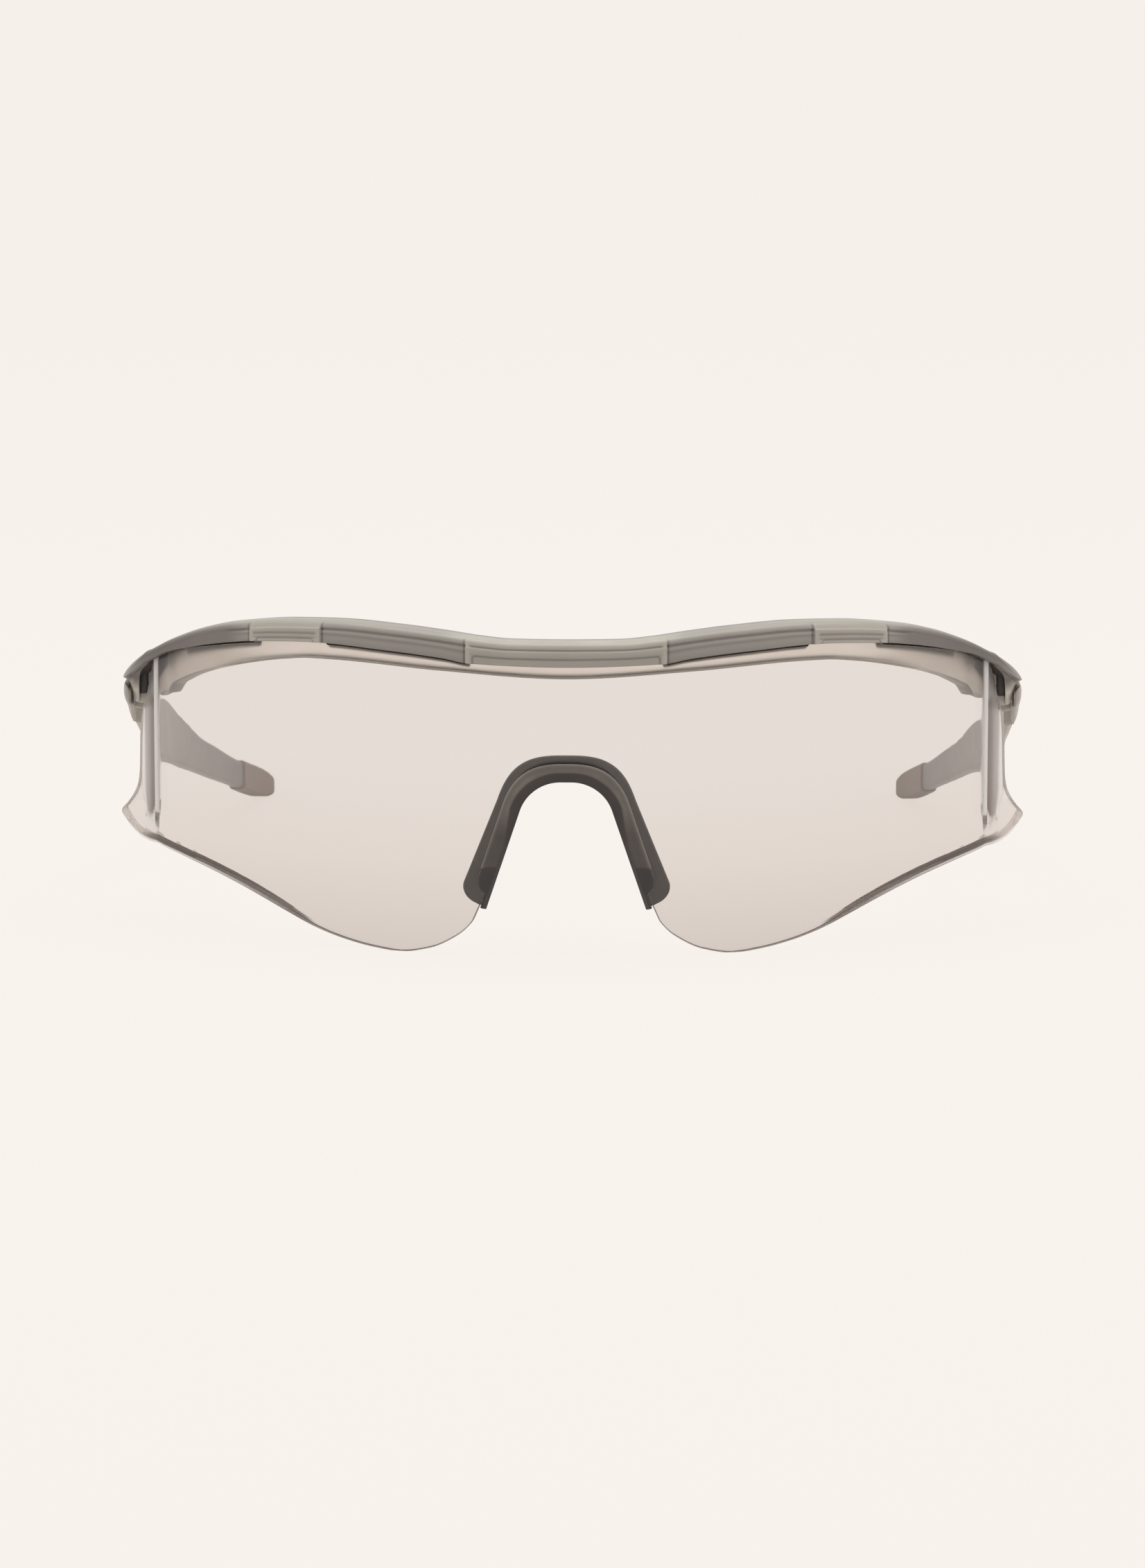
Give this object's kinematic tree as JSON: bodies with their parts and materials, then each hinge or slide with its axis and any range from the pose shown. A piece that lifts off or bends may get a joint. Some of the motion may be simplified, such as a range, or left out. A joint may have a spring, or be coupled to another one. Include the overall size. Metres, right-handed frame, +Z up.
{
  "type": "cycling glasses",
  "caption": "Wrap-around sport glasses with a one-piece shield lens in a brow bar, a clip-on nose bridge with soft pads, and folding temples with rubber grips.",
  "frame": {"origin": "centre of the box on the surface the glasses rest on, with the temples open", "axes": "+Z up, the front of the lens faces -Y, the temples run back along +Y, and the wearer's left is +X"},
  "size_m": [0.147, 0.1588, 0.0521],
  "materials": {
    "frame_nylon": "frosted, slightly see-through grey nylon",
    "tinted_lens": "clear smoke polycarbonate, a little darker towards the bottom",
    "nose_rubber": "matte dark rubber",
    "screw_steel": "small bright steel screws",
    "grip_rubber": "matte brown-grey rubber"
  },
  "bodies": {
    "front": {"brow_frame": "frame_nylon", "shield_lens": "tinted_lens", "nose_bridge": "nose_rubber", "nose_pad_left": "nose_rubber", "nose_pad_right": "nose_rubber", "hinge_screw_left": "screw_steel", "hinge_screw_right": "screw_steel"},
    "temple_left": {"temple_arm_left": "frame_nylon", "temple_grip_left": "grip_rubber"},
    "temple_right": {"temple_arm_right": "frame_nylon", "temple_grip_right": "grip_rubber"}
  },
  "joints": [
    {"name": "temple_left_fold", "type": "hinge", "parent": "front", "child": "temple_left", "pos_m": [0.0692, -0.03106, 0.03579], "axis": [0, 0, 1], "range_deg": [0, 84]},
    {"name": "temple_right_fold", "type": "hinge", "parent": "front", "child": "temple_right", "pos_m": [-0.0692, -0.03106, 0.03579], "axis": [0, 0, -1], "range_deg": [0, 90]}
  ]
}
